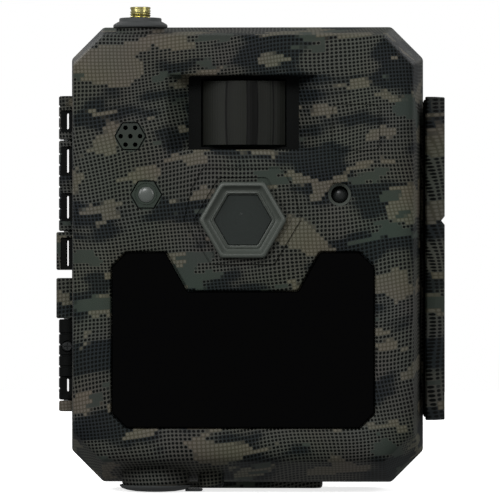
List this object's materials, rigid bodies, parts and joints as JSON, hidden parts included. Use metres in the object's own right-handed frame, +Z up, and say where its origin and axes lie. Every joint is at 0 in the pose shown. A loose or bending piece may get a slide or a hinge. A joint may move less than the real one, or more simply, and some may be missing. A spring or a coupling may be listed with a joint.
{
  "type": "trail camera",
  "caption": "Camouflaged trail camera: hinged front cover with hexagonal lens, black infrared window and motion sensor, side latch, antenna port, strap ears and battery bay.",
  "frame": {"origin": "middle of the camera's footprint, on the plane of its foot", "axes": "+Z up, +Y towards the tree that it is strapped to, so the lens looks along -Y, and +X on the latch side"},
  "size_m": [0.1206, 0.078, 0.1485],
  "materials": {
    "camo_shell": "matte camouflage print on a moulded case",
    "window_black": "polished black window",
    "board_green": "solder mask",
    "pir_film": "moulded film with fine ribs",
    "steel": "plated",
    "bezel_plastic": "fine satin",
    "lens_smoke": "tinted, polished",
    "lens_clear": "clear, polished",
    "black_plastic": "fine spark texture",
    "panel_grey": "fine spark texture",
    "key_rubber": "smooth",
    "card_white": "smooth",
    "brass": "turned, bright",
    "rubber": "moulded",
    "cell_sleeve": "printed film sleeve"
  },
  "bodies": {
    "rear_case": {"rear_housing": "camo_shell", "rear_gasket": "rubber", "tripod_insert": "brass", "hinge_pin_1": "steel", "hinge_pin_2": "steel", "hinge_pin_3": "steel", "hinge_pin_4": "steel", "hinge_screw": "steel", "latch_pin": "steel", "contact_strip_top": "steel", "contact_strip_bottom": "steel", "battery_cell_1": "cell_sleeve", "battery_cell_2": "cell_sleeve", "battery_cell_3": "cell_sleeve", "battery_cell_4": "cell_sleeve", "battery_cell_5": "cell_sleeve", "battery_cell_6": "cell_sleeve", "battery_cell_7": "cell_sleeve", "battery_cell_8": "cell_sleeve", "battery_cell_9": "cell_sleeve", "battery_cell_10": "cell_sleeve", "battery_cell_11": "cell_sleeve", "battery_cell_12": "cell_sleeve", "battery_cover": "panel_grey"},
    "door": {"front_cover": "camo_shell", "ir_window": "window_black", "ir_led_board": "board_green", "pir_lens": "pir_film", "pir_sensor": "steel", "lens_bezel": "bezel_plastic", "lens_window": "lens_smoke", "lens_barrel": "black_plastic", "camera_board": "board_green", "light_sensor_lens": "lens_clear", "status_led": "lens_smoke", "microphone": "steel", "main_board": "board_green", "inner_panel": "panel_grey", "lcd_panel": "window_black", "card_socket": "steel", "sma_connector": "brass", "sma_washer": "rubber", "coax_cable": "rubber", "dc_jack": "black_plastic", "panel_screw_1": "steel", "panel_screw_2": "steel", "panel_screw_3": "steel", "panel_screw_4": "steel"},
    "latch": {"latch_lever": "camo_shell"},
    "battery_latch": {"battery_latch": "key_rubber"},
    "dc_plug": {"dc_plug": "rubber"},
    "power_switch": {"power_switch": "black_plastic"},
    "sd_card": {"sd_card": "black_plastic"},
    "sim_card": {"sim_card": "card_white"},
    "ir_cut_filter": {"ir_cut_filter": "lens_smoke"},
    "key_ok": {"key_ok": "key_rubber"},
    "key_up": {"key_up": "key_rubber"},
    "key_down": {"key_down": "key_rubber"},
    "key_left": {"key_left": "key_rubber"},
    "key_right": {"key_right": "key_rubber"}
  },
  "joints": [
    {"name": "door_hinge", "type": "hinge", "parent": "rear_case", "child": "door", "pos_m": [-0.0567, 0.00225, 0.0727], "axis": [0, 0, -1], "range_deg": [0, 110]},
    {"name": "latch_pivot", "type": "hinge", "parent": "rear_case", "child": "latch", "pos_m": [0.0567, 0.0165, 0.0715], "axis": [0, 0, 1], "range_deg": [0, 95]},
    {"name": "battery_latch_slide", "type": "slide", "parent": "rear_case", "child": "battery_latch", "axis": [0, 0, -1], "range_m": [0, 0.003]},
    {"name": "dc_plug_hinge", "type": "hinge", "parent": "door", "child": "dc_plug", "pos_m": [-0.0144, -0.017, 0.00055], "axis": [0, -1, 0], "range_deg": [0, 100]},
    {"name": "power_switch_slide", "type": "slide", "parent": "door", "child": "power_switch", "axis": [1, 0, 0], "range_m": [-0.003, 0.003]},
    {"name": "sd_card_slide", "type": "slide", "parent": "door", "child": "sd_card", "axis": [0, 0, -1], "range_m": [0, 0.012]},
    {"name": "sim_card_slide", "type": "slide", "parent": "door", "child": "sim_card", "axis": [0, 0, -1], "range_m": [0, 0.009]},
    {"name": "ir_cut_filter_slide", "type": "slide", "parent": "door", "child": "ir_cut_filter", "axis": [1, 0, 0], "range_m": [0, 0.0044]},
    {"name": "key_ok_press", "type": "slide", "parent": "door", "child": "key_ok", "axis": [0, -1, 0], "range_m": [0, 0.0008], "stiffness_N_per_m": 400, "springref_m": -0.001},
    {"name": "key_up_press", "type": "slide", "parent": "door", "child": "key_up", "axis": [0, -1, 0], "range_m": [0, 0.0008], "stiffness_N_per_m": 400, "springref_m": -0.001},
    {"name": "key_down_press", "type": "slide", "parent": "door", "child": "key_down", "axis": [0, -1, 0], "range_m": [0, 0.0008], "stiffness_N_per_m": 400, "springref_m": -0.001},
    {"name": "key_left_press", "type": "slide", "parent": "door", "child": "key_left", "axis": [0, -1, 0], "range_m": [0, 0.0008], "stiffness_N_per_m": 400, "springref_m": -0.001},
    {"name": "key_right_press", "type": "slide", "parent": "door", "child": "key_right", "axis": [0, -1, 0], "range_m": [0, 0.0008], "stiffness_N_per_m": 400, "springref_m": -0.001}
  ]
}
